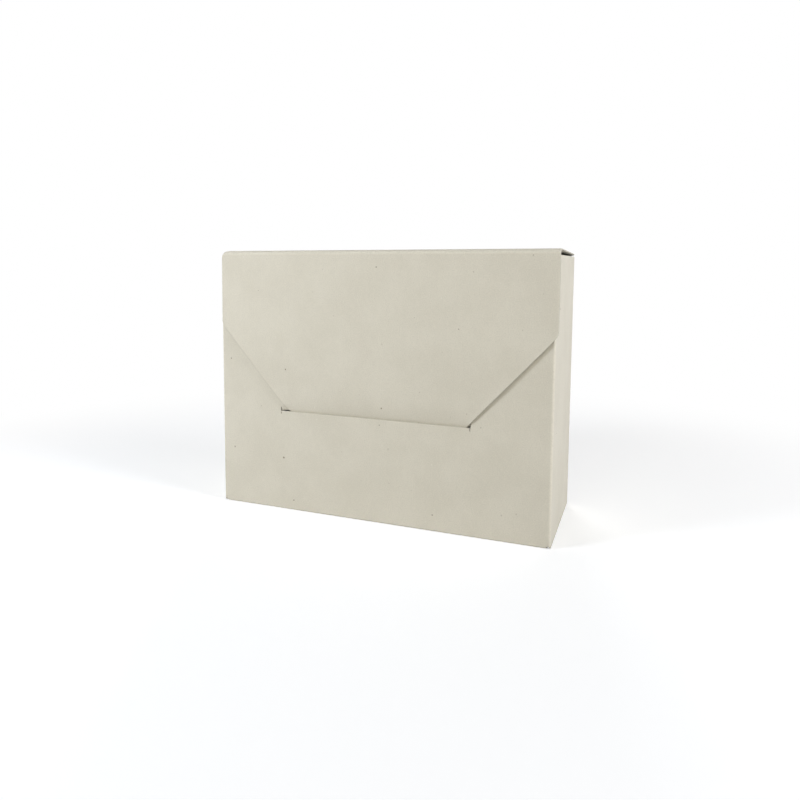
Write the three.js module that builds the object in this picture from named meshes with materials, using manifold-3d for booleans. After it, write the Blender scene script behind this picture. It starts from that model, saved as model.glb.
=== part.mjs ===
// Archive storage box: one die-cut sheet of solid board, folded up, with a lid and a tuck-in closure flap.
// Millimetres. The front faces -Y, +X is to the right, +Z is up, and the underside lies on Z = 0.
import * as THREE from "three";
import Module from "manifold-3d";

const wasm = await Module();
wasm.setup();

// Size of the folded box, over its outer faces
const boxWidth = 325;
const boxDepth = 120;
const boxHeight = 250;

// Board, folds and fits
const board = 1.4;
const foldRadius = 2.2; // outer radius of an ordinary scored fold
const lidFoldRadius = 4.5; // outer radius of the softer fold at the lid's front edge
const fit = 0.3; // clearance between two faces that rest on each other
const foldSlot = 0.3; // width of the parting slot along a fold that hinges
const glueBond = 0.2; // how far a glued flap is pressed into the wall that it holds
const foldFacets = 4; // facets in a quarter turn of a fold

// Raw edges of the walls
const frontDrop = 5; // a side wall's front end, and the front wall, below the lid's top
const backDrop = 2.3; // a side wall's back end below the lid's top
const wallFoot = 0.3; // a side wall's lower edge above the ground
const wallBackInset = 0.3; // a side wall's back edge in from the back face
const seamLap = 4; // how far two runs of the same wall lie over each other where they join

// Inner glue flaps, on the sides of the back and of the bottom
const backFlapLength = 30;
const bottomFlapHeight = 25;
const glueFlapTaper = 8;
const glueFlapGap = 3;

// Slit in the front wall that takes the closure flap's tab, with an upright cut at each end
const slitHeight = 97;
const slitCentre = -2;
const slitHalfLength = 93.7;
const slitGap = 0.6;
const endCutHalf = 3.3;

// Bend of the slit's lips, which the tab holds apart
const upperReach = 18; // how far above the slit its pressed-in lip fades out
const lowerReach = 12;
const lowerLip = 0.9; // how far the lip below the slit stands out
const lipSway = 0.6; // extra dip of both lips at the middle of the slit
const lipSpread = 0.8; // how fast a lip's bend widens away from the slit

// Lid, closure flap and tab
const lidRacking = 2.2; // sideways shift of the lid's front edge, as the board has settled
const flapSlope = 1.09; // rise of the flap's slanted edge for each millimetre across
const shoulderBlend = 3; // softening of the corner where the flap starts to narrow
const tabHalfWidth = 87.3;
const tabLength = 17;
const tabCorner = 8;
const flapBow = 1.4; // how far the flap stands off the wall between the slit and the lid
const bowSkew = 0.5; // how much nearer to the slit than to the lid the bow is greatest
const bowPlateau = 60; // half the width over which the bow is even
const bowSideLoss = 0.5; // share of the bow that is lost at the flap's sides

const halfWidth = boxWidth / 2;
const innerWall = halfWidth - board + glueBond;
const passThrough = board + fit;
const upperLip = 2 * passThrough - lowerLip;
const slitLeft = slitCentre - slitHalfLength;
const slitRight = slitCentre + slitHalfLength;
const flapFace = -passThrough;
const flapShoulder = slitHeight + (halfWidth - tabHalfWidth) * flapSlope;
const tabFoot = slitHeight - tabLength;
const quarter = Math.PI / 2;
const hingeAngle = quarter / 2;

// Centres of the four folds that run across the box, in (y, z)
const bottomFrontFold = new THREE.Vector2(foldRadius, foldRadius);
const bottomBackFold = new THREE.Vector2(boxDepth - foldRadius, foldRadius);
const topBackFold = new THREE.Vector2(boxDepth - foldRadius, boxHeight - foldRadius);
const topFrontFold = new THREE.Vector2(flapFace + lidFoldRadius, boxHeight - lidFoldRadius);

const smooth = (t) => THREE.MathUtils.smoothstep(t, 0, 1);

// Even steps from one value towards another, the last left out.
function steps(from, to, count) {
  return Array.from({ length: count }, (_, i) => THREE.MathUtils.lerp(from, to, i / count));
}

// Steps from one value to another, the last included, which lie closer together near the first.
function graded(from, to, count) {
  return Array.from({ length: count }, (_, i) =>
    THREE.MathUtils.lerp(from, to, ((i + 1) / count) ** 1.6),
  );
}

// How far the front wall's lips are bent by the tab between them: inwards above the slit, outwards below it.
function lipShift(x, z) {
  const above = z >= slitHeight;
  const distance = Math.abs(z - slitHeight);
  const fade = above
    ? Math.max(0, 1 - distance / upperReach) ** 2
    : 1 - smooth(distance / lowerReach);
  const spread = slitGap / 2 + lipSpread * distance;
  const fromLeft = smooth((x - slitLeft + spread) / (2 * spread));
  const fromRight = smooth((slitRight + spread - x) / (2 * spread));
  const across = (x - slitCentre) / slitHalfLength;
  const sway = lipSway * Math.max(0, 1 - across * across);
  return (above ? sway + upperLip : sway - lowerLip) * fade * fromLeft * fromRight;
}

// How far the flap bows out at a point between the slit and the lid, less towards its two sides.
function bowAt(x, z) {
  const t = Math.PI * THREE.MathUtils.clamp(THREE.MathUtils.inverseLerp(slitHeight, topFrontFold.y, z), 0, 1);
  const sideways = smooth((Math.abs(x - lidRacking) - bowPlateau) / (halfWidth - bowPlateau));
  return flapBow * Math.sin(t) * (1 + bowSkew * Math.cos(t)) * (1 - bowSideLoss * sideways);
}

// Where the flap's outer face lies: over the upper lip, through the slit, and behind the lower lip.
function flapFaceAt(x, z) {
  if (z < slitHeight) return passThrough + lipShift(x, z);
  return flapFace + lipShift(x, z) - bowAt(x, z);
}

// Half the closure flap's width at a height: full at the top, slanted below the shoulder, and a tab with
// round corners below the slit.
function flapHalfWidth(z) {
  const slanted = tabHalfWidth + Math.max(0, z - slitHeight) / flapSlope;
  const near = Math.max(0, 1 - Math.abs(slanted - halfWidth) / shoulderBlend);
  const outline = Math.min(slanted, halfWidth) - (near * near * shoulderBlend) / 4;
  const depth = THREE.MathUtils.clamp(tabFoot + tabCorner - z, 0, tabCorner);
  return outline - (tabCorner - Math.sqrt(tabCorner ** 2 - depth ** 2));
}

// How far the lid has shifted sideways at a depth: not at all at its hinge, and all of it at the front.
function rackingAt(y) {
  const t = THREE.MathUtils.inverseLerp(topBackFold.x, topFrontFold.x, y);
  return lidRacking * THREE.MathUtils.clamp(t, 0, 1);
}

// A station of a section: a point on the board's outer face, and the one behind it on the inner face.
function station(a, b, normalA, normalB, onFront = false) {
  const outer = new THREE.Vector2(a, b);
  const inner = new THREE.Vector2(a - normalA * board, b - normalB * board);
  return { outer, inner, onFront };
}

// The stations of a fold, round its centre, trimmed where a parting slot runs along it.
function fold(centre, radius, from, to, fromTrim = 0, toTrim = 0) {
  const turn = Math.sign(to - from);
  const facets = Math.max(2, Math.round((foldFacets * Math.abs(to - from)) / quarter));
  const at = (r, t) => {
    const start = from + turn * Math.asin(fromTrim / r);
    const end = to - turn * Math.asin(toTrim / r);
    const angle = THREE.MathUtils.lerp(start, end, t);
    return new THREE.Vector2(Math.cos(angle), Math.sin(angle)).multiplyScalar(r).add(centre);
  };
  return [...steps(0, 1, facets), 1].map((t) => ({
    outer: at(radius, t),
    inner: at(radius - board, t),
    onFront: false,
  }));
}

// Closed solid of folded board on a grid: place(station, row, point) sets each corner, and isCut(i, j)
// leaves a cell out.
function boardSheet(stations, rows, place, isCut = () => false) {
  const across = stations.length - 1;
  const along = rows.length - 1;
  const points = stations.flatMap((s) =>
    rows.flatMap((row) => [place(s, row, s.outer), place(s, row, s.inner)]),
  );
  const corner = (i, j, side) => 2 * (i * rows.length + j) + side;
  const kept = (i, j) => i >= 0 && j >= 0 && i < across && j < along && !isCut(i, j);
  const faces = [];
  const quad = (a, b, c, d) => faces.push(a, b, c, a, c, d);
  for (let i = 0; i < across; i++)
    for (let j = 0; j < along; j++) {
      if (!kept(i, j)) continue;
      const ring = [[i, j], [i + 1, j], [i + 1, j + 1], [i, j + 1]];
      const neighbours = [[i, j - 1], [i + 1, j], [i, j + 1], [i - 1, j]];
      quad(...ring.map(([a, b]) => corner(a, b, 0)));
      quad(...ring.map(([a, b]) => corner(a, b, 1)).reverse());
      neighbours.forEach(([a, b], k) => {
        if (kept(a, b)) return;
        const [p, q] = [ring[k], ring[(k + 1) % ring.length]];
        quad(corner(...p, 1), corner(...q, 1), corner(...q, 0), corner(...p, 0));
      });
    }
  return solidFrom(points, faces);
}

// A solid from corner points and triangles, without the points that no triangle uses, facing outwards.
function solidFrom(points, faces) {
  const used = new Map();
  const vertices = [];
  const triangles = faces.map((corner) => {
    if (!used.has(corner)) {
      used.set(corner, used.size);
      vertices.push(...points[corner].toArray());
    }
    return used.get(corner);
  });
  const closed = (corners) =>
    new wasm.Manifold(
      new wasm.Mesh({
        numProp: 3,
        vertProperties: new Float32Array(vertices),
        triVerts: new Uint32Array(corners),
      }),
    );
  const made = closed(triangles);
  return made.volume() > 0 ? made : closed(triangles.reverse());
}

function meshFrom(solid, name) {
  const { vertProperties, triVerts } = solid.getMesh();
  const shared = new THREE.BufferGeometry();
  shared.setAttribute("position", new THREE.BufferAttribute(vertProperties, 3));
  shared.setIndex(new THREE.BufferAttribute(triVerts, 1));
  const geometry = shared.toNonIndexed();
  geometry.computeVertexNormals();
  const material = new THREE.MeshStandardMaterial({ color: 0xd0cbbc, roughness: 0.9, metalness: 0 });
  const mesh = new THREE.Mesh(geometry, material);
  mesh.name = name;
  return mesh;
}

// Columns across the front wall, close together round the slit's two ends, where the lips twist.
function frontColumns() {
  const bend = slitGap / 2 + lipSpread * upperReach;
  const edge = halfWidth - foldRadius;
  const roundEnd = (x) => [
    ...graded(x - slitGap / 2, x - bend, 6).reverse(),
    x - slitGap / 2,
    x + slitGap / 2,
    ...graded(x + slitGap / 2, x + bend, 6),
  ];
  return [
    ...steps(-edge, slitLeft - bend, 3).slice(1),
    ...roundEnd(slitLeft),
    ...steps(slitLeft + bend, slitRight - bend, 9).slice(1),
    ...roundEnd(slitRight),
    ...steps(slitRight + bend, edge, 3).slice(1),
  ];
}

// Rows up the walls: exact at the slit's edges and at the ends of its upright cuts.
function wallRows() {
  const [low, high] = [slitHeight - endCutHalf, slitHeight + endCutHalf];
  const [lowLip, highLip] = [slitHeight - slitGap / 2, slitHeight + slitGap / 2];
  return [
    "foot",
    ...steps(foldRadius + seamLap, slitHeight - lowerReach, 3).slice(1),
    ...graded(low, slitHeight - lowerReach, 4).reverse(),
    low,
    (low + lowLip) / 2,
    lowLip,
    highLip,
    (high + highLip) / 2,
    high,
    ...graded(high, slitHeight + upperReach, 5),
    ...steps(slitHeight + upperReach, boxHeight - frontDrop, 3).slice(1),
    "top",
  ];
}

// Front and side walls: one run of board round the left side, the front and the right side.
function frontAndSides() {
  const leftFold = new THREE.Vector2(foldRadius - halfWidth, foldRadius);
  const rightFold = new THREE.Vector2(halfWidth - foldRadius, foldRadius);
  const sideEnd = boxDepth - wallBackInset;
  const stations = [
    station(-halfWidth, sideEnd, -1, 0),
    ...fold(leftFold, foldRadius, 2 * quarter, 3 * quarter),
    ...frontColumns().map((x) => station(x, 0, 0, -1, true)),
    ...fold(rightFold, foldRadius, 3 * quarter, 4 * quarter),
    station(halfWidth, sideEnd, 1, 0),
  ];
  const rows = wallRows();
  const heightOf = (row, y) => {
    const turned = THREE.MathUtils.clamp(1 - y / foldRadius, 0, 1);
    if (row === "foot") return THREE.MathUtils.lerp(wallFoot, foldRadius, turned);
    const drop = THREE.MathUtils.mapLinear(y, 0, boxDepth, frontDrop, backDrop);
    return row === "top" ? boxHeight - drop : row;
  };
  const place = (s, row, point) => {
    const z = heightOf(row, s.outer.y);
    return new THREE.Vector3(point.x, point.y + (s.onFront ? lipShift(point.x, z) : 0), z);
  };
  const isCut = (i, j) => {
    const [start, end] = [stations[i], stations[i + 1]];
    if (!start.onFront || !end.onFront) return false;
    const x = (start.outer.x + end.outer.x) / 2;
    const z = (rows[j] + rows[j + 1]) / 2;
    const inSlit = Math.abs(z - slitHeight) < slitGap / 2 && x > slitLeft && x < slitRight;
    const atAnEnd = Math.min(Math.abs(x - slitLeft), Math.abs(x - slitRight)) < slitGap / 4;
    return inSlit || (atAnEnd && Math.abs(z - slitHeight) < endCutHalf);
  };
  return boardSheet(stations, rows, place, isCut);
}

// A section in YZ, run straight across the box between its side folds.
function crossRun(stations) {
  const reach = innerWall - foldRadius;
  return boardSheet(stations, [-reach, reach], (_, x, point) => new THREE.Vector3(x, point.x, point.y));
}

// Bottom, with its folds up into the front and into the back.
function bottom() {
  return crossRun([
    station(0, foldRadius + seamLap, -1, 0),
    ...fold(bottomFrontFold, foldRadius, 2 * quarter, 3 * quarter),
    ...fold(bottomBackFold, foldRadius, 3 * quarter, 4 * quarter),
    station(boxDepth, foldRadius + seamLap, 1, 0),
  ]);
}

// The back wall's top, with its half of the fold that the lid hangs on.
function hingeFold() {
  return crossRun([
    station(boxDepth, topBackFold.y - seamLap, 1, 0),
    ...fold(topBackFold, foldRadius, 0, hingeAngle, 0, foldSlot / 2),
  ]);
}

// The bottom across the box, with its glue flaps folded up inside the side walls.
function bottomGlueFlaps() {
  const leftFold = new THREE.Vector2(foldRadius - innerWall, foldRadius);
  const rightFold = new THREE.Vector2(innerWall - foldRadius, foldRadius);
  const stations = [
    station(-innerWall, bottomFlapHeight, -1, 0),
    ...fold(leftFold, foldRadius, 2 * quarter, 3 * quarter),
    ...fold(rightFold, foldRadius, 3 * quarter, 4 * quarter),
    station(innerWall, bottomFlapHeight, 1, 0),
  ];
  const ends = [foldRadius + board + glueFlapGap, boxDepth - backFlapLength - glueFlapGap];
  return boardSheet(stations, ends, (_, y, point) => {
    const taper = glueFlapTaper * Math.max(0, (point.y - foldRadius) / bottomFlapHeight);
    return new THREE.Vector3(point.x, y === ends[0] ? y + taper : y - taper, point.y);
  });
}

// Back wall, with its glue flaps turned forwards inside the side walls.
function backWall() {
  const leftFold = new THREE.Vector2(foldRadius - innerWall, boxDepth - foldRadius);
  const rightFold = new THREE.Vector2(innerWall - foldRadius, boxDepth - foldRadius);
  const flapEnd = boxDepth - backFlapLength;
  const stations = [
    station(innerWall, flapEnd, 1, 0),
    ...fold(rightFold, foldRadius, 0, quarter),
    ...fold(leftFold, foldRadius, quarter, 2 * quarter),
    station(-innerWall, flapEnd, -1, 0),
  ];
  const ends = [foldRadius + board, topBackFold.y];
  return boardSheet(stations, ends, (_, z, point) => {
    const taper = glueFlapTaper * Math.max(0, (boxDepth - foldRadius - point.y) / backFlapLength);
    return new THREE.Vector3(point.x, point.y, z === ends[0] ? z + taper : z - taper);
  });
}

// Lid: its half of the back fold, the flat top, and its half of the front fold.
function lidPanel() {
  const stations = [
    ...fold(topBackFold, foldRadius, hingeAngle, quarter, foldSlot / 2, 0),
    ...fold(topFrontFold, lidFoldRadius, quarter, quarter + hingeAngle, 0, foldSlot / 2),
  ];
  return boardSheet(stations, [-halfWidth, halfWidth], (_, x, point) =>
    new THREE.Vector3(x + rackingAt(point.x), point.x, point.y),
  );
}

// Closure flap: the rest of the front fold, the tapered flap, and the tab that goes through the slit.
function closureFlap() {
  const heights = [
    ...steps(topFrontFold.y, flapShoulder + 2 * shoulderBlend, 6).slice(1),
    ...steps(flapShoulder + 2 * shoulderBlend, flapShoulder - 2 * shoulderBlend, 6),
    ...steps(flapShoulder - 2 * shoulderBlend, slitHeight + upperReach, 6),
    ...graded(slitHeight, slitHeight + upperReach, 9).reverse(),
    slitHeight,
    ...graded(slitHeight, tabFoot + tabCorner, 4),
    ...steps(0, quarter, 5).slice(1).map((turn) => tabFoot + tabCorner * (1 - Math.sin(turn))),
    tabFoot,
  ];
  const stations = [
    ...fold(topFrontFold, lidFoldRadius, quarter + hingeAngle, 2 * quarter, foldSlot / 2, 0),
    ...heights.map((z) => station(flapFace, z, -1, 0, true)),
  ];
  const toRight = [...steps(0, 0.75, 4), ...graded(1, 0.75, 5).reverse(), 1];
  const columns = [...toRight.slice(1).reverse().map((u) => -u), ...toRight];
  return boardSheet(stations, columns, (s, u, point) => {
    const x = lidRacking + u * flapHalfWidth(point.y);
    const y = s.onFront ? point.x + flapFaceAt(x, point.y) - flapFace : point.x;
    return new THREE.Vector3(x, y, point.y);
  });
}

const boxBody = [bottom(), bottomGlueFlaps(), backWall(), hingeFold()].reduce(
  (whole, run) => whole.add(run),
  frontAndSides(),
);

const archiveBox = new THREE.Group();
archiveBox.name = "archive_storage_box";
archiveBox.add(
  meshFrom(boxBody, "box_body"),
  meshFrom(lidPanel(), "lid_panel"),
  meshFrom(closureFlap(), "closure_flap"),
);

// The origin is the middle of the underside of the whole box's bounding box.
const bounds = new THREE.Box3().setFromObject(archiveBox);
const middle = bounds.getCenter(new THREE.Vector3());
archiveBox.position.set(-middle.x, -middle.y, -bounds.min.z);

export default archiveBox;
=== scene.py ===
"""Archive storage box: one folded sheet of grey-beige solid board, closed by a tapered flap in a slit."""
import math

import bmesh
import bpy
import numpy as np
from mathutils import Matrix, Vector


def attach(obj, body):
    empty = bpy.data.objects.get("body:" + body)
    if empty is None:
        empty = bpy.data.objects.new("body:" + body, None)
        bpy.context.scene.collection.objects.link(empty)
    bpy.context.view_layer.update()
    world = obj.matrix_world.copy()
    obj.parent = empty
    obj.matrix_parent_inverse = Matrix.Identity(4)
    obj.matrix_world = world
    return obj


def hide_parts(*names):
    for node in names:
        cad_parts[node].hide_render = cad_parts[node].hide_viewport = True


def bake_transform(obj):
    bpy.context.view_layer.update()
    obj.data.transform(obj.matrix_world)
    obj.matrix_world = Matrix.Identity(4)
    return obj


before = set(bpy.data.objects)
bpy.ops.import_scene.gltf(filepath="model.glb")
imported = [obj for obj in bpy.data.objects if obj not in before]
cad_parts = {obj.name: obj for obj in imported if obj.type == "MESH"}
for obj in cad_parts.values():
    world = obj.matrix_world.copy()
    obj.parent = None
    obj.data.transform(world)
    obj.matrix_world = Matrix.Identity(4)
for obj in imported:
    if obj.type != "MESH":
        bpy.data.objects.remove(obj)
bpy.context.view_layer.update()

# Sizes in millimetres, in the part's own working frame: x from the middle of the box, y back from the front
# wall's outer face, z up from the ground. ORIGIN is where the row frame's origin lies in it.
WIDTH, DEPTH, HEIGHT = 325.0, 120.0, 250.0
BOARD = 1.4
FIT = 0.3  # clearance between the flap and the board that it passes
GLUE = 0.2  # how far a glue flap sinks into the side wall that it is glued to
FOLD, LID_FOLD = 2.2, 4.5  # outer radius of the folds, and of the one between lid and flap
FRONT_DROP, BACK_DROP = 5.0, 2.6  # how far the side walls' tops lie below the lid's top, front and back
FOOT, BACK_INSET = 0.3, 0.3  # how far a side wall stops short of the ground and of the back
SLIT_Z, SLIT_X, SLIT_HALF, SLIT_GAP = 97.0, -2.0, 93.7, 0.6
END_CUT = 3.3  # how far the cross cut at each end of the slit goes up and down
UPPER_REACH, LOWER_REACH = 18.0, 12.0  # how far above and below the slit its lips flex
LOWER_LIP, SWAY, SPREAD = 0.9, 0.6, 0.8
RACKING = 2.2  # how far the lid's front and the flap sit to the right
SLOPE, SHOULDER = 1.09, 3.0  # the flap's slanted edges, and how much its shoulders are rounded
TAB_HALF, TAB_LENGTH, TAB_CORNER = 87.3, 17.0, 8.0
BOW, BOW_SKEW, BOW_PLATEAU, BOW_SIDE_LOSS = 1.4, 0.5, 60.0, 0.5
BACK_FLAP, BOTTOM_FLAP, TAPER = 30.0, 25.0, 8.0
ORIGIN = np.array([1.1, 58.3794, 0.0])

HALF = WIDTH / 2
INNER = HALF - BOARD + GLUE
PASS = BOARD + FIT
UPPER_LIP = 2 * PASS - LOWER_LIP
SLIT_L, SLIT_R = SLIT_X - SLIT_HALF, SLIT_X + SLIT_HALF
SHOULDER_Z = SLIT_Z + (HALF - TAB_HALF) * SLOPE
TAB_FOOT = SLIT_Z - TAB_LENGTH
DRIFT = 1.0  # how far the tab sits to the left of the flap's own middle
CRUSH = 0.4  # how much thinner the lid's cut edge is, where the die pressed it
LID_SAG = 0.35  # how far the lid sags in its middle
LEAD = 4.0  # flat board carried beyond a hinging fold, so that its shading runs on
SIDE_STEP = 40.0  # sets the pattern of the board's inner face apart from that of its outer face
WELD = 0.004  # points nearer than this are one point
CUT_ROUNDING = 0.22  # width of the rounding on a cut edge


def smooth(t):
    t = np.clip(t, 0, 1)
    return t * t * (3 - 2 * t)


def unique_sorted(*parts, gap=0.05):
    values = np.sort(np.concatenate([np.atleast_1d(np.asarray(p, float)) for p in parts]))
    kept = [values[0]]
    for v in values[1:]:
        if v - kept[-1] > gap:
            kept.append(v)
    return np.array(kept)


def settle(x, z):
    """The front wall's own slight waviness, in millimetres, so that its light isn't dead even."""
    wave = 0.22 * np.sin(x / 47.0 + 0.8) * np.sin(z / 61.0 + 0.4) + 0.16 * np.sin(x / 23.0 + z / 39.0 + 2.0)
    inside = smooth((HALF - np.abs(x)) / 22.0) * smooth(z / 25.0) * smooth((HEIGHT - z) / 30.0)
    return (wave + 0.4) * inside


def lip_shift(x, z):
    """How far the slit's lips, and the flap with them, are bent back at a point of the front."""
    above = z >= SLIT_Z
    away = np.abs(z - SLIT_Z)
    fade = np.where(above, np.maximum(0, 1 - away / UPPER_REACH) ** 2, 1 - smooth(away / LOWER_REACH))
    spread = SLIT_GAP / 2 + SPREAD * away
    left = smooth((x - SLIT_L + spread) / (2 * spread)) * (0.4 + 0.6 * smooth((x - SLIT_L) / 8.5))
    right = smooth((SLIT_R + spread - x) / (2 * spread))
    sway = SWAY * np.maximum(0, 1 - ((x - SLIT_X) / SLIT_HALF) ** 2)
    return np.where(above, sway + UPPER_LIP, sway - LOWER_LIP) * fade * left * right


def bow_at(x, z):
    """How far the closure flap bows forward above the slit."""
    t = math.pi * np.clip((z - SLIT_Z) / (HEIGHT - LID_FOLD - SLIT_Z), 0, 1)
    sideways = smooth((np.abs(x - RACKING) - BOW_PLATEAU) / (HALF - BOW_PLATEAU))
    return BOW * np.sin(t) * (1 + BOW_SKEW * np.cos(t)) * (1 - BOW_SIDE_LOSS * sideways)


def flap_y(x, z):
    """The flap's outer face: in front of the wall above the slit, behind it below."""
    below = PASS + lip_shift(x, z) + settle(x, z)
    above = -PASS + lip_shift(x, z) + settle(x, z) - bow_at(x, z)
    return np.where(z < SLIT_Z, below, above)


def flap_half(z):
    """Half the flap's width at a height: straight sides, rounded shoulders, slanted edges and the tab."""
    slanted = TAB_HALF + np.maximum(0, z - SLIT_Z) / SLOPE
    near = np.maximum(0, 1 - np.abs(slanted - HALF) / SHOULDER)
    outline = np.minimum(slanted, HALF) - near * near * SHOULDER / 4
    depth = np.clip(TAB_FOOT + TAB_CORNER - z, 0, TAB_CORNER)
    return outline - (TAB_CORNER - np.sqrt(TAB_CORNER**2 - depth**2))


def racking(y):
    """How far the lid has shifted to the right at a depth."""
    return RACKING * np.clip((DEPTH - FOLD - y) / (DEPTH - FOLD - (LID_FOLD - PASS)), 0, 1)


class Run:
    """A line of board in section: outer and inner points, length so far, and how much each lies in a fold."""

    def __init__(self):
        self.outer, self.inner, self.length, self.crease = [], [], [], []

    def add(self, outer, inner, crease=0.0):
        if self.outer:
            before, now = (self.outer[-1] + self.inner[-1]) / 2, (np.array(outer) + np.array(inner)) / 2
            self.length.append(self.length[-1] + float(np.linalg.norm(now - before)))
        else:
            self.length.append(0.0)
        self.outer.append(np.array(outer, float))
        self.inner.append(np.array(inner, float))
        self.crease.append(crease)

    def flat(self, points, normal):
        n = np.array(normal, float)
        for p in points:
            self.add(np.array(p, float), np.array(p, float) - n * BOARD)
        return self

    def fold(self, centre, radius, start, end, facets=10):
        """The inner stations of a fold. The flat runs on either side give its two ends."""
        centre = np.array(centre)
        for t in np.linspace(0, 1, facets + 1)[1:-1]:
            a = math.radians(start + (end - start) * t)
            d = np.array([math.cos(a), math.sin(a)])
            crease = math.sin(math.pi * (0.12 + 0.76 * t))
            self.add(centre + d * radius, centre + d * (radius - BOARD), crease)
        return self


def patch(run_points, rows, place, lay, cut=None, joined=(False, False, False, False)):
    """Vertices, faces and board coordinates of a sheet on a grid.

    joined says which of its start, end, low and high borders go on in another sheet and so have no raw edge.
    lay gives a point's place on the flat blank, in millimetres.
    """
    n, m = len(run_points.outer), len(rows)
    vertices, board, crease = [], [], []
    for side, line in ((0, run_points.outer), (1, run_points.inner)):
        for i in range(n):
            for j in range(m):
                vertices.append(place(i, rows[j], j, line[i], side))
                spot = lay(run_points.length[i], rows[j], vertices[-1])
                board.append((*spot, side * SIDE_STEP))
                crease.append(run_points.crease[i])

    def at(i, j, side):
        return side * n * m + i * m + j

    kept = np.ones((n - 1, m - 1), bool) if cut is None else ~cut
    faces, edge = [], []
    for i in range(n - 1):
        for j in range(m - 1):
            if not kept[i, j]:
                continue
            ring = [(i, j), (i + 1, j), (i + 1, j + 1), (i, j + 1)]
            faces.append([at(a, b, 0) for a, b in ring])
            faces.append([at(a, b, 1) for a, b in reversed(ring)])
            edge += [False, False]
            start, end, low, high = joined
            around = ((i, j - 1, low), (i + 1, j, end), (i, j + 1, high), (i - 1, j, start))
            for k, (a, b, goes_on) in enumerate(around):
                outside = not (0 <= a < n - 1 and 0 <= b < m - 1)
                if outside:
                    if goes_on(i, j) if callable(goes_on) else goes_on:
                        continue
                elif kept[a, b]:
                    continue
                p, q = ring[k], ring[(k + 1) % 4]
                faces.append([at(*p, 1), at(*q, 1), at(*q, 0), at(*p, 0)])
                edge.append(True)
    return np.array(vertices, float), faces, edge, np.array(board, float), np.array(crease, float)


def build(name, patches, materials):
    """One mesh from several sheets, welded where they share a border, with sharp raw edges."""
    bm = bmesh.new()
    board_layer = bm.verts.layers.float_vector.new("board")
    crease_layer = bm.verts.layers.float.new("crease")
    for vertices, faces, edge, board, crease in patches:
        made = [bm.verts.new(tuple((v - ORIGIN) / 1000.0)) for v in vertices]
        for v, b, c in zip(made, board, crease):
            v[board_layer] = tuple(b / 1000.0)
            v[crease_layer] = c
        for f, is_edge in zip(faces, edge):
            face = bm.faces.new([made[k] for k in f])
            face.material_index = 1 if is_edge else 0
            face.smooth = True
        for v in made:
            if not v.link_faces:
                bm.verts.remove(v)
    bmesh.ops.remove_doubles(bm, verts=bm.verts, dist=WELD / 1000.0)
    bmesh.ops.recalc_face_normals(bm, faces=bm.faces)
    mesh = bpy.data.meshes.new(name)
    bm.to_mesh(mesh)
    bm.free()
    obj = bpy.data.objects.new(name, mesh)
    bpy.context.scene.collection.objects.link(obj)
    for material in materials:
        mesh.materials.append(material)
    soften(obj)
    return obj


def soften(obj):
    """Rounds the cut edges of the board by a hair, as a die leaves them."""
    bevel = obj.modifiers.new("cut_edge", "BEVEL")
    bevel.width = CUT_ROUNDING / 1000.0
    bevel.segments = 2
    bevel.limit_method = "ANGLE"
    bevel.angle_limit = math.radians(55)
    bevel.use_clamp_overlap = True
    bevel.harden_normals = False
    bpy.context.view_layer.update()
    evaluated = obj.evaluated_get(bpy.context.evaluated_depsgraph_get())
    done = bpy.data.meshes.new_from_object(evaluated)
    obj.modifiers.clear()
    old = obj.data
    obj.data = done
    done.name = old.name + "_mesh"
    bpy.data.meshes.remove(old)
    done.set_sharp_from_angle(angle=math.radians(38))


# Materials


def scaled(colour, *factors):
    """A colour times one factor, or times a factor for each channel."""
    if len(factors) == 1:
        factors = factors * 3
    return tuple(min(1.0, c * k) for c, k in zip(colour, factors))


def attribute(tree, name):
    n = tree.nodes.new("ShaderNodeAttribute")
    n.attribute_type, n.attribute_name = "GEOMETRY", name
    return n


def math_node(tree, operation, a, b=None, c=None, clamp=False):
    n = tree.nodes.new("ShaderNodeMath")
    n.operation, n.use_clamp = operation, clamp
    for k, value in enumerate((a, b, c)):
        if value is None:
            continue
        if isinstance(value, (int, float)):
            n.inputs[k].default_value = value
        else:
            tree.links.new(value, n.inputs[k])
    return n.outputs[0]


def ramp(tree, value, low, high, to_low=0.0, to_high=1.0):
    n = tree.nodes.new("ShaderNodeMapRange")
    n.interpolation_type, n.clamp = "SMOOTHSTEP", True
    tree.links.new(value, n.inputs["Value"])
    n.inputs["From Min"].default_value, n.inputs["From Max"].default_value = low, high
    n.inputs["To Min"].default_value, n.inputs["To Max"].default_value = to_low, to_high
    return n.outputs["Result"]


def tint(tree, factor, base, colour, blend="MIX"):
    n = tree.nodes.new("ShaderNodeMix")
    n.data_type, n.blend_type, n.clamp_factor = "RGBA", blend, True
    if isinstance(factor, (int, float)):
        n.inputs[0].default_value = factor
    else:
        tree.links.new(factor, n.inputs[0])
    for socket, value in ((n.inputs[6], base), (n.inputs[7], colour)):
        if isinstance(value, tuple):
            socket.default_value = (*value, 1.0)
        else:
            tree.links.new(value, socket)
    return n.outputs[2]


def noise(tree, where, scale, detail=3.0, rough=0.55, distortion=0.0):
    n = tree.nodes.new("ShaderNodeTexNoise")
    n.noise_dimensions = "3D"
    tree.links.new(where, n.inputs["Vector"])
    n.inputs["Scale"].default_value = scale
    n.inputs["Detail"].default_value = detail
    n.inputs["Roughness"].default_value = rough
    n.inputs["Distortion"].default_value = distortion
    return n.outputs["Fac"]


def stretched(tree, where, scale, turn=0.0, offset=(0.0, 0.0, 0.0)):
    n = tree.nodes.new("ShaderNodeMapping")
    n.inputs["Scale"].default_value = scale
    n.inputs["Rotation"].default_value = (0.0, 0.0, turn)
    n.inputs["Location"].default_value = offset
    tree.links.new(where, n.inputs["Vector"])
    return n.outputs["Vector"]


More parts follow.
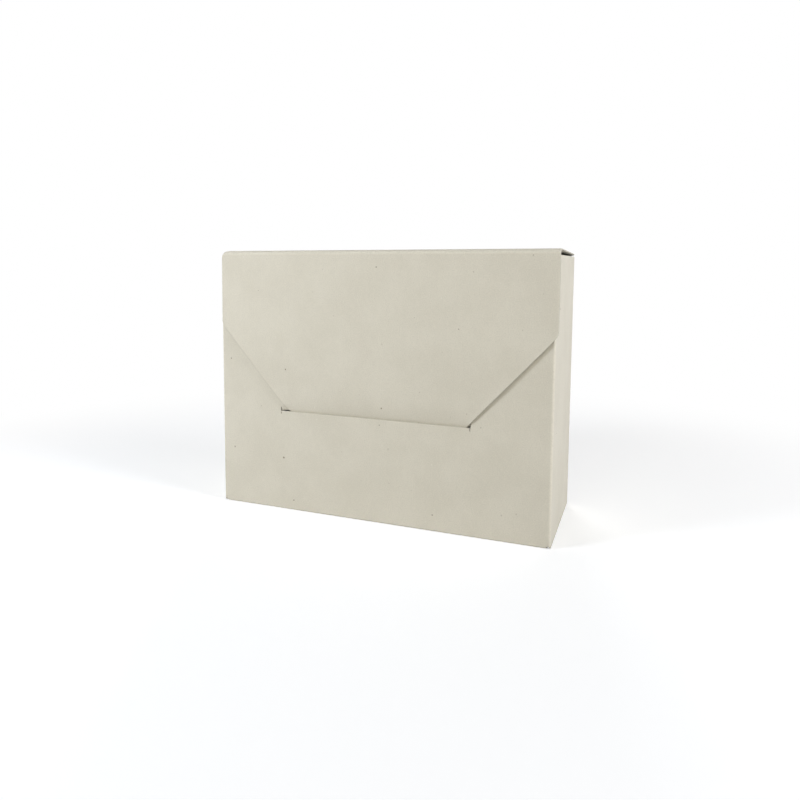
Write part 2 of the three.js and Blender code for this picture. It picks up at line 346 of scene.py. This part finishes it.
def flecks(tree, where, scale, size, share, turn, stretch, offset, surface_only=False):
    """Sparse bits of fibre: one in each cell of a Voronoi pattern, kept for only a share of the cells."""
    space = stretched(tree, where, (stretch, 1.0, 1.0), turn, offset)
    wobble = tree.nodes.new("ShaderNodeTexNoise")
    wobble.inputs["Scale"].default_value = scale * 0.6
    wobble.inputs["Detail"].default_value = 1.0
    tree.links.new(space, wobble.inputs["Vector"])
    bent = tree.nodes.new("ShaderNodeVectorMath")
    bent.operation = "MULTIPLY_ADD"
    tree.links.new(wobble.outputs["Color"], bent.inputs[0])
    bent.inputs[1].default_value = (0.9 / scale, 0.9 / scale, 0.0)
    tree.links.new(space, bent.inputs[2])
    cells = tree.nodes.new("ShaderNodeTexVoronoi")
    cells.feature = "F1"
    cells.voronoi_dimensions = "2D" if surface_only else "3D"
    cells.inputs["Scale"].default_value = scale
    tree.links.new(bent.outputs[0], cells.inputs["Vector"])
    split = tree.nodes.new("ShaderNodeSeparateColor")
    tree.links.new(cells.outputs["Color"], split.inputs[0])
    chosen = math_node(tree, "GREATER_THAN", split.outputs[0], 1.0 - share)
    radius = math_node(tree, "MULTIPLY", split.outputs[1], size)
    inner = math_node(tree, "SUBTRACT", radius, cells.outputs["Distance"])
    mark = ramp(tree, inner, 0.0, size * 0.35)
    return math_node(tree, "MULTIPLY", mark, chosen)


def painted_flap_shadow(tree, where):
    """How much a spot of the front wall lies in the painted shadow beside the flap's slanted edges, from the
    tab up to the shoulders.
    """
    spot = tree.nodes.new("ShaderNodeSeparateXYZ")
    tree.links.new(where, spot.inputs[0])
    middle = (RACKING - DRIFT / 2) / 1000.0
    aside = math_node(tree, "ABSOLUTE", math_node(tree, "SUBTRACT", spot.outputs[1], middle))
    above = math_node(tree, "SUBTRACT", (HEIGHT - FRONT_DROP - SLIT_Z) / 1000.0, spot.outputs[0])
    past_tab = math_node(tree, "SUBTRACT", aside, TAB_HALF / 1000.0)
    off = math_node(tree, "MULTIPLY_ADD", above, -1.0 / SLOPE, past_tab)
    top = (SHOULDER_Z - SLIT_Z) / 1000.0
    beside = ramp(tree, off, 0.0006, 0.0048, 1.0, 0.0)
    under = ramp(tree, off, -0.0040, -0.0015)
    begins = ramp(tree, above, 0.001, 0.006)
    ends = ramp(tree, above, top - 0.008, top, 1.0, 0.0)
    outer_face = math_node(tree, "LESS_THAN", spot.outputs[2], 0.001)
    mark = math_node(tree, "MULTIPLY", beside, under)
    mark = math_node(tree, "MULTIPLY", mark, math_node(tree, "MULTIPLY", begins, ends))
    return math_node(tree, "MULTIPLY", mark, outer_face)


def board_material(name, base, is_edge=False, is_front=False):
    material = bpy.data.materials.new(name)
    material.use_nodes = True
    tree = material.node_tree
    shader = tree.nodes["Principled BSDF"]
    where = attribute(tree, "board").outputs["Vector"]
    crease = attribute(tree, "crease").outputs["Fac"]

    cloud = noise(tree, where, 22.0, 3.0, 0.6)
    mottle = noise(tree, where, 240.0, 4.0, 0.62, 0.4)
    fibre = noise(tree, stretched(tree, where, (0.28, 1.0, 1.0), 0.05), 2100.0, 3.0, 0.7, 0.6)
    grain = noise(tree, where, 3800.0, 2.0, 0.6)
    speckle = noise(tree, where, 950.0, 2.0, 0.55)

    clouded = tint(tree, ramp(tree, cloud, 0.32, 0.68), scaled(base, 0.945, 0.94, 0.925), scaled(base, 1.045))
    mottled = tint(tree, ramp(tree, mottle, 0.3, 0.72), scaled(base, 0.972), scaled(base, 1.03))
    colour = tint(tree, 0.5, clouded, mottled)
    colour = tint(tree, ramp(tree, speckle, 0.3, 0.5, 0.5, 0.0), colour, scaled(base, 0.88))
    colour = tint(tree, ramp(tree, speckle, 0.5, 0.72, 0.0, 0.5), colour, scaled(base, 1.1))
    colour = tint(tree, ramp(tree, fibre, 0.62, 0.8, 0.0, 0.22), colour, scaled(base, 0.8))
    colour = tint(tree, ramp(tree, fibre, 0.2, 0.36, 0.24, 0.0), colour, scaled(base, 1.14))

    dark = flecks(tree, where, 80.0, 0.075, 0.035, 0.5, 0.8, (3.1, 1.7, 0.0), surface_only=True)
    small = flecks(tree, where, 260.0, 0.17, 0.10, -0.7, 0.6, (0.4, 5.2, 0.0))
    hair = flecks(tree, where, 150.0, 0.07, 0.10, 1.1, 0.22, (7.3, 2.9, 0.0))
    hair_across = flecks(tree, where, 170.0, 0.06, 0.08, -0.35, 0.2, (1.3, 8.4, 0.0))
    light = flecks(tree, where, 260.0, 0.14, 0.10, 0.2, 0.5, (6.0, 4.4, 0.0))
    colour = tint(tree, math_node(tree, "MULTIPLY", light, 0.45), colour, (0.80, 0.77, 0.69))
    colour = tint(tree, math_node(tree, "MULTIPLY", small, 0.42), colour, (0.27, 0.22, 0.155))
    colour = tint(tree, math_node(tree, "MULTIPLY", hair, 0.30), colour, (0.30, 0.245, 0.18))
    colour = tint(tree, math_node(tree, "MULTIPLY", hair_across, 0.26), colour, (0.33, 0.29, 0.24))
    colour = tint(tree, math_node(tree, "MULTIPLY", dark, 0.8), colour, (0.20, 0.155, 0.10))

    wear_and_shade_noise = noise(tree, where, 420.0, 3.0, 0.7)
    # Lighter along the folds: partly the board's fibres whitened where the fold cracks them, partly a painted
    # highlight on the fold's rounding.
    fold_wear_and_highlight = math_node(tree, "MULTIPLY", crease, ramp(tree, wear_and_shade_noise, 0.34, 0.62, 0.25, 0.75))
    colour = tint(tree, fold_wear_and_highlight, colour, scaled(base, 1.13))
    # Painted shadow: the front wall is tinted darker in a soft band beside the flap's slanted edges, where
    # the flap's shadow falls, made patchy by noise.
    if is_front:
        uneven = ramp(tree, wear_and_shade_noise, 0.3, 0.6, 0.7, 1.0)
        line = math_node(tree, "MULTIPLY", painted_flap_shadow(tree, where), uneven)
        colour = tint(tree, line, colour, scaled(base, 0.85))
    if is_edge:
        layers = noise(tree, stretched(tree, where, (0.15, 0.15, 9.0)), 900.0, 2.0, 0.7)
        colour = tint(tree, ramp(tree, layers, 0.35, 0.65, 0.15, 0.6), colour, scaled(base, 0.78))
    tree.links.new(colour, shader.inputs["Base Color"])

    rough = ramp(tree, mottle, 0.25, 0.75, 0.82, 0.93)
    tree.links.new(rough, shader.inputs["Roughness"])
    shader.inputs["Specular IOR Level"].default_value = 0.32
    shader.inputs["IOR"].default_value = 1.45

    rubbed_fold = math_node(tree, "MULTIPLY", wear_and_shade_noise, crease)
    height = math_node(tree, "MULTIPLY", mottle, 1.6)
    for layer, share_of_height in ((fibre, 0.8), (grain, 0.35), (rubbed_fold, 2.2)):
        height = math_node(tree, "ADD", height, math_node(tree, "MULTIPLY", layer, share_of_height))
    bump = tree.nodes.new("ShaderNodeBump")
    bump.inputs["Strength"].default_value = 0.5
    bump.inputs["Distance"].default_value = 0.00009
    tree.links.new(height, bump.inputs["Height"])
    tree.links.new(bump.outputs["Normal"], shader.inputs["Normal"])
    return material


BASE = (0.640, 0.602, 0.505)
board_skin = board_material("solid_board", BASE)
board_cut = board_material("solid_board_cut_edge", scaled(BASE, 0.86), is_edge=True)
# The flap's cut edge is darker than the other cut edges: partly the board's own darker core, partly painted
# shade that deepens the shadow line along the flap's slanted edges.
flap_cut_with_painted_shade = board_material("solid_board_flap_edge_painted_shade", scaled(BASE, 0.66), is_edge=True)
# The walls' material carries the painted shadow beside the flap's slanted edges.
wall_skin = board_material("solid_board_walls", BASE, is_front=True)
skins = [board_skin, board_cut]

# The box's walls

bend = SLIT_GAP / 2 + SPREAD * UPPER_REACH
near_end = np.concatenate([[0.3, 0.9, 1.7, 2.7], np.arange(4.0, bend + 1, 1.5)])
columns = unique_sorted(
    np.linspace(-HALF + FOLD, HALF - FOLD, 70),
    *[end + sign * near_end for end in (SLIT_L, SLIT_R) for sign in (-1, 1)],
    gap=0.5,
)
for end in (SLIT_L, SLIT_R):
    for sign in (-1, 1):
        columns[np.argmin(np.abs(columns - (end + sign * SLIT_GAP / 2)))] = end + sign * SLIT_GAP / 2
low, high = SLIT_Z - END_CUT, SLIT_Z + END_CUT
front_rows = unique_sorted(
    np.linspace(FOLD, low - 14, 16),
    np.arange(low - 13, low - 0.5, 1.1), [low, low + 1.0, low + 2.0, SLIT_Z - SLIT_GAP / 2],
    [SLIT_Z + SLIT_GAP / 2, high - 2.0, high - 1.0, high], np.arange(high + 1.0, high + 17, 1.1),
    np.linspace(high + 18, HEIGHT - FRONT_DROP, 26), gap=0.3,
)


def side_top(y):
    """The height of the side walls' tops, which slope gently from front to back."""
    return HEIGHT - (FRONT_DROP + (BACK_DROP - FRONT_DROP) * y / DEPTH)


# The run down the front, under the bottom and up the back, over all columns.
wrap = Run()
wrap.flat([(0.0, z) for z in front_rows[::-1]], (-1, 0))
front_count = len(front_rows)
wrap.fold((FOLD, FOLD), FOLD, 180, 270)
bottom_ys = np.linspace(FOLD, DEPTH - FOLD, 26)
bottom_start = len(wrap.outer)
wrap.flat([(y, 0.0) for y in bottom_ys], (0, -1))
bottom_end = len(wrap.outer)
wrap.fold((DEPTH - FOLD, FOLD), FOLD, 270, 360)
back_rows = np.linspace(FOLD, HEIGHT - FOLD - LEAD, 50)
back_start = len(wrap.outer)
wrap.flat([(DEPTH, z) for z in back_rows], (1, 0))

cut = np.zeros((len(wrap.outer) - 1, len(columns) - 1), bool)
for i in range(front_count - 1):
    z = (wrap.outer[i][1] + wrap.outer[i + 1][1]) / 2
    for j in range(len(columns) - 1):
        x = (columns[j] + columns[j + 1]) / 2
        in_slit = abs(z - SLIT_Z) < SLIT_GAP / 2 and SLIT_L < x < SLIT_R
        at_end = min(abs(x - SLIT_L), abs(x - SLIT_R)) < SLIT_GAP / 4 and abs(z - SLIT_Z) < END_CUT
        cut[i, j] = in_slit or at_end


def place_wrap(i, x, j, point, side):
    if j in (0, len(columns) - 1):
        edge = HALF - FOLD if i < front_count else INNER - FOLD
        x = math.copysign(edge, x)
    y, z = point
    if i < front_count:
        y = y + float(lip_shift(x, z)) + float(settle(x, z))
    return (x, y, z)


def wrap_goes_on(i, j):
    return i < front_count - 1 or bottom_start <= i < bottom_end - 1 or i >= back_start


def lay_wrap(along, x, v):
    return (along, x)


wrap_joined = (False, True, wrap_goes_on, wrap_goes_on)
walls = [patch(wrap, columns, place_wrap, lay_wrap, cut, wrap_joined)]
fold_joined = (True, False, False, False)

# Side walls, each on a fold of the front wall.
for sign in (-1, 1):
    side_run = Run()
    centre = (sign * (HALF - FOLD), FOLD)
    side_run.flat([(sign * (HALF - FOLD), 0.0)], (0, -1))
    side_run.fold(centre, FOLD, 270, 270 + sign * 90)
    side_run.flat([(sign * HALF, y) for y in np.linspace(FOLD, DEPTH - BACK_INSET, 24)], (sign, 0))

    def place_side(i, z, j, point, side, run=side_run):
        x, y = point
        along = run.outer[i][1]
        turned = min(1.0, max(0.0, 1 - along / FOLD))
        foot = FOOT + (FOLD - FOOT) * turned
        top = side_top(along)
        t = (z - FOLD) / (HEIGHT - FRONT_DROP - FOLD)
        z = foot + (top - foot) * t if i else z
        return (x, y, z)

    def lay_side(along, z, v, sign=sign):
        return (HEIGHT - FRONT_DROP - z, sign * (HALF - FOLD + along))

    walls.append(patch(side_run, front_rows, place_side, lay_side, joined=fold_joined))

# Glue flaps on the back wall's sides and on the bottom's sides, inside the side walls.
for sign in (-1, 1):
    turn = Run()
    turn.flat([(sign * (INNER - FOLD), DEPTH)], (0, 1))
    turn.fold((sign * (INNER - FOLD), DEPTH - FOLD), FOLD, 90, 90 - sign * 90)
    turn.flat([(sign * INNER, y) for y in np.linspace(DEPTH - FOLD, DEPTH - BACK_FLAP, 8)], (sign, 0))

    def place_back_flap(i, z, j, point, side, run=turn):
        inset = TAPER * max(0.0, (DEPTH - FOLD - run.outer[i][1]) / BACK_FLAP)
        middle = (back_rows[0] + back_rows[-1]) / 2
        half = (back_rows[-1] - back_rows[0]) / 2
        return (point[0], point[1], middle + (z - middle) * (1 - inset / half))

    def lay_back_flap(along, z, v, sign=sign):
        return (wrap.length[back_start] + z, sign * (INNER - FOLD + along))

    walls.append(patch(turn, back_rows, place_back_flap, lay_back_flap, joined=fold_joined))

    rise = Run()
    rise.flat([(sign * (INNER - FOLD), 0.0)], (0, -1))
    rise.fold((sign * (INNER - FOLD), FOLD), FOLD, 270, 270 + sign * 90)
    rise.flat([(sign * INNER, z) for z in np.linspace(FOLD, BOTTOM_FLAP, 7)], (sign, 0))

    def place_bottom_flap(i, y, j, point, side, run=rise):
        up = run.outer[i][1]
        share = max(0.0, (up - FOLD) / (BOTTOM_FLAP - FOLD))
        front, back = FOLD + BOARD + 3.0, DEPTH - BACK_FLAP - 3.0
        low_y = FOLD + (front - FOLD) * min(1.0, i / 4) + TAPER * share
        high_y = DEPTH - FOLD + (back - DEPTH + FOLD) * min(1.0, i / 4) - TAPER * share
        t = (y - bottom_ys[0]) / (bottom_ys[-1] - bottom_ys[0])
        return (point[0], low_y + (high_y - low_y) * t, point[1])

    def lay_bottom_flap(along, y, v, sign=sign):
        return (wrap.length[bottom_start] + y, sign * (INNER - FOLD + along))

    walls.append(patch(rise, bottom_ys, place_bottom_flap, lay_bottom_flap, joined=fold_joined))

board_walls = build("board_walls", walls, [wall_skin, board_cut])
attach(board_walls, "box")
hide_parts("box_body")

# Lid, closure flap and the two hinging folds

near_edge = np.array([0.955, 0.975, 0.987, 0.995, 1])
share = np.concatenate([-near_edge[::-1], np.linspace(-0.93, 0.93, 57), near_edge])
back_fold = (DEPTH - FOLD, HEIGHT - FOLD)
front_fold = (LID_FOLD - PASS, HEIGHT - LID_FOLD)


def soften_corner(x, y, z):
    """The lid's front left corner is rubbed round: its last few millimetres drop."""
    t = np.clip((-HALF + RACKING + 7.0 - x) / 7.0, 0, 1) * np.clip((9.0 - y) / 9.0, 0, 1)
    drop = 2.6 * t**2.2 * np.clip((z - HEIGHT + 9.0) / 9.0, 0, 1)
    return z - drop


hinge = Run()
hinge.flat([(DEPTH, z) for z in (HEIGHT - FOLD - LEAD, HEIGHT - FOLD - LEAD / 2, HEIGHT - FOLD)], (1, 0))
hinge.fold(back_fold, FOLD, 0, 90, 12)
hinge.flat([(y, HEIGHT) for y in (DEPTH - FOLD, DEPTH - FOLD - LEAD / 2, DEPTH - FOLD - LEAD)], (0, 1))


def place_hinge(i, u, j, point, side):
    turned = smooth((i - 2) / (len(hinge.outer) - 5))
    half = (INNER - FOLD) + (HALF - INNER + FOLD) * float(turned)
    y, z = point
    return (u * half + float(racking(y)), y, z)


def lay_from(start):
    return lambda along, u, v: (start + along, v[0])


hinge_start = wrap.length[-1]
top_start = hinge_start + hinge.length[-1]
both_joined = (True, True, False, False)
back_sheet = patch(hinge, share, place_hinge, lay_from(hinge_start), joined=both_joined)
back_crease = build("back_fold", [back_sheet], skins)

top = Run()
top.flat([(y, HEIGHT) for y in np.linspace(DEPTH - FOLD - LEAD, front_fold[0] + LEAD, 30)], (0, 1))


def place_lid(i, u, j, point, side):
    y, z = point
    along = (DEPTH - FOLD - LEAD - y) / (DEPTH - FOLD - 2 * LEAD - front_fold[0])
    sag = LID_SAG * (1 - u * u) * math.sin(math.pi * along)
    x = u * HALF + float(racking(y))
    ends = min(DEPTH - FOLD - LEAD - y, y - front_fold[0] - LEAD)
    crush = CRUSH * side * float(smooth((abs(u) - 0.985) / 0.015) * smooth(ends / 6.0))
    return (x, y, soften_corner(x, y, z) - sag + crush)


lid_sheet = patch(top, share, place_lid, lay_from(top_start), joined=both_joined)
lid_board = build("lid_board", [lid_sheet], skins)
nose_start = top_start + top.length[-1]

nose = Run()
nose.flat([(front_fold[0] + lead, HEIGHT) for lead in (LEAD, LEAD / 2, 0.0)], (0, 1))
nose.fold(front_fold, LID_FOLD, 90, 180, 16)
nose.flat([(-PASS, front_fold[1] - lead) for lead in (0.0, LEAD / 2, LEAD)], (-1, 0))


def place_nose(i, u, j, point, side):
    y, z = point
    x = u * HALF + float(racking(y))
    if i >= len(nose.outer) - 3:
        y = y + float(flap_y(x, z)) + PASS
    return (x, y, soften_corner(x, y, z))


front_sheet = patch(nose, share, place_nose, lay_from(nose_start), joined=both_joined)
front_crease = build("front_fold", [front_sheet], skins)
drop_start = nose_start + nose.length[-1]

flap_rows = unique_sorted(
    np.linspace(front_fold[1] - LEAD, SHOULDER_Z + 7, 14),
    np.arange(SHOULDER_Z - 7, SHOULDER_Z + 7, 0.7),
    np.linspace(SHOULDER_Z - 8, SLIT_Z + UPPER_REACH, 14),
    np.arange(SLIT_Z, SLIT_Z + UPPER_REACH, 0.9),
    [SLIT_Z],
    np.arange(TAB_FOOT + TAB_CORNER, SLIT_Z, 0.9),
    TAB_FOOT + TAB_CORNER * (1 - np.cos(np.linspace(0, math.pi / 2, 9))),
    gap=0.02,
)[::-1]
drop = Run()
drop.flat([(-PASS, z) for z in flap_rows], (-1, 0))
flap_share = np.concatenate([np.linspace(-1, -0.9, 9), np.linspace(-0.88, 0.88, 49), np.linspace(0.9, 1, 9)])


def place_flap(i, u, j, point, side):
    y, z = point
    drift = DRIFT * (1 - float(smooth((z - SLIT_Z) / (SHOULDER_Z - SLIT_Z))))
    x = RACKING - drift + u * float(flap_half(z))
    return (x, y + float(flap_y(x, z)) + PASS, soften_corner(x, y, z))


flap_sheet = patch(drop, flap_share, place_flap, lay_from(drop_start), joined=fold_joined)
flap_board = build("flap_board", [flap_sheet], [board_skin, flap_cut_with_painted_shade])

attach(lid_board, "lid")
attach(flap_board, "flap")
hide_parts("lid_panel")
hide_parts("closure_flap")


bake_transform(back_crease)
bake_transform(front_crease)

# Floor, light and camera

floor_mesh = bpy.data.meshes.new("floor")
floor_mesh.from_pydata([(-6, -6, 0), (6, -6, 0), (6, 6, 0), (-6, 6, 0)], [], [(0, 1, 2, 3)])
floor = bpy.data.objects.new("floor", floor_mesh)
bpy.context.scene.collection.objects.link(floor)
floor_material = bpy.data.materials.new("pale_floor")
floor_material.use_nodes = True
tree = floor_material.node_tree
surface = tree.nodes["Principled BSDF"]
surface.inputs["Base Color"].default_value = (0.70, 0.70, 0.695, 1.0)
surface.inputs["Roughness"].default_value = 0.9
surface.inputs["Specular IOR Level"].default_value = 0.0
path = tree.nodes.new("ShaderNodeLightPath")
seen = math_node(tree, "MAXIMUM", path.outputs["Is Camera Ray"], path.outputs["Is Glossy Ray"])
glow = math_node(tree, "MULTIPLY", seen, 0.44)
surface.inputs["Emission Color"].default_value = (1.0, 1.0, 1.0, 1.0)
tree.links.new(glow, surface.inputs["Emission Strength"])
coordinates = tree.nodes.new("ShaderNodeTexCoord")
distance = tree.nodes.new("ShaderNodeVectorMath")
distance.operation = "LENGTH"
tree.links.new(coordinates.outputs["Object"], distance.inputs[0])
far = ramp(tree, distance.outputs["Value"], 0.35, 0.75)
beyond = math_node(tree, "MULTIPLY", far, path.outputs["Is Camera Ray"])
white = tree.nodes.new("ShaderNodeEmission")
white.inputs["Color"].default_value = (1.0, 1.0, 1.0, 1.0)
white.inputs["Strength"].default_value = 1.0
fade = tree.nodes.new("ShaderNodeMixShader")
tree.links.new(beyond, fade.inputs[0])
tree.links.new(surface.outputs[0], fade.inputs[1])
tree.links.new(white.outputs[0], fade.inputs[2])
tree.links.new(fade.outputs[0], tree.nodes["Material Output"].inputs["Surface"])
floor_mesh.materials.append(floor_material)

world = bpy.data.worlds.new("studio")
bpy.context.scene.world = world
world.use_nodes = True
tree = world.node_tree
tree.nodes.clear()
output = tree.nodes.new("ShaderNodeOutputWorld")
path = tree.nodes.new("ShaderNodeLightPath")
seen = math_node(tree, "MAXIMUM", path.outputs["Is Camera Ray"], path.outputs["Is Glossy Ray"])
seen = math_node(tree, "MAXIMUM", seen, path.outputs["Is Transmission Ray"])
backdrop = tree.nodes.new("ShaderNodeBackground")
backdrop.inputs["Color"].default_value = (1.0, 1.0, 1.0, 1.0)
backdrop.inputs["Strength"].default_value = 1.0
ambient = tree.nodes.new("ShaderNodeBackground")
ambient.inputs["Color"].default_value = (1.0, 1.0, 1.0, 1.0)
ambient.inputs["Strength"].default_value = 0.02
mix = tree.nodes.new("ShaderNodeMixShader")
tree.links.new(seen, mix.inputs[0])
tree.links.new(ambient.outputs[0], mix.inputs[1])
tree.links.new(backdrop.outputs[0], mix.inputs[2])
tree.links.new(mix.outputs[0], output.inputs["Surface"])


def lamp(name, place, target, size, power, colour=(1.0, 1.0, 1.0)):
    data = bpy.data.lights.new(name, "AREA")
    data.shape, data.size, data.energy, data.color = "SQUARE", size, power, colour
    obj = bpy.data.objects.new(name, data)
    bpy.context.scene.collection.objects.link(obj)
    obj.location = place
    obj.rotation_euler = (Vector(target) - Vector(place)).to_track_quat("-Z", "Y").to_euler()
    return obj


lamp("key_left", (-0.80, -0.75, 0.60), (-0.05, -0.06, 0.13), 0.35, 8.1, (0.95, 1.0, 1.09))
lamp("right", (1.5, -0.25, 0.70), (0.16, 0.0, 0.12), 0.5, 18.3, (0.985, 1.0, 1.05))
lamp("front_fill", (0.1, -1.7, 0.5), (0.0, -0.06, 0.12), 0.8, 7.3, (1.05, 1.0, 0.86))
lamp("back_fill", (-0.5, 1.5, 0.9), (0.0, 0.06, 0.12), 0.8, 14.0)


PICTURE = 800.0  # pixels across and down


def aim_camera(position, yaw, pitch, roll, focal, centre):
    """A pinhole camera in the working frame, with focal length and centre in pixels of the picture."""
    level = math.cos(pitch)
    forward = Vector((math.sin(yaw) * level, math.cos(yaw) * level, -math.sin(pitch)))
    right = Vector((math.cos(yaw), -math.sin(yaw), 0.0))
    up = right.cross(forward)
    tilted = right * math.cos(roll) + up * math.sin(roll)
    up = up * math.cos(roll) - right * math.sin(roll)
    right = tilted
    data = bpy.data.cameras.new("camera")
    data.sensor_fit, data.sensor_width = "HORIZONTAL", 36.0
    data.lens = focal * data.sensor_width / PICTURE
    data.shift_x = (PICTURE / 2 - centre[0]) / PICTURE
    data.shift_y = (centre[1] - PICTURE / 2) / PICTURE
    data.clip_start, data.clip_end = 0.01, 50.0
    obj = bpy.data.objects.new("camera", data)
    bpy.context.scene.collection.objects.link(obj)
    turn = Matrix((right, up, -forward)).transposed()
    obj.matrix_world = Matrix.Translation(Vector((np.array(position) - ORIGIN) / 1000.0)) @ turn.to_4x4()
    bpy.context.scene.camera = obj


aim_camera((229.264, -521.310, 224.688), -0.3567, 0.0829, 0.0088, 633.34, (409.05, 331.16))
bpy.context.scene.view_settings.view_transform = "Standard"
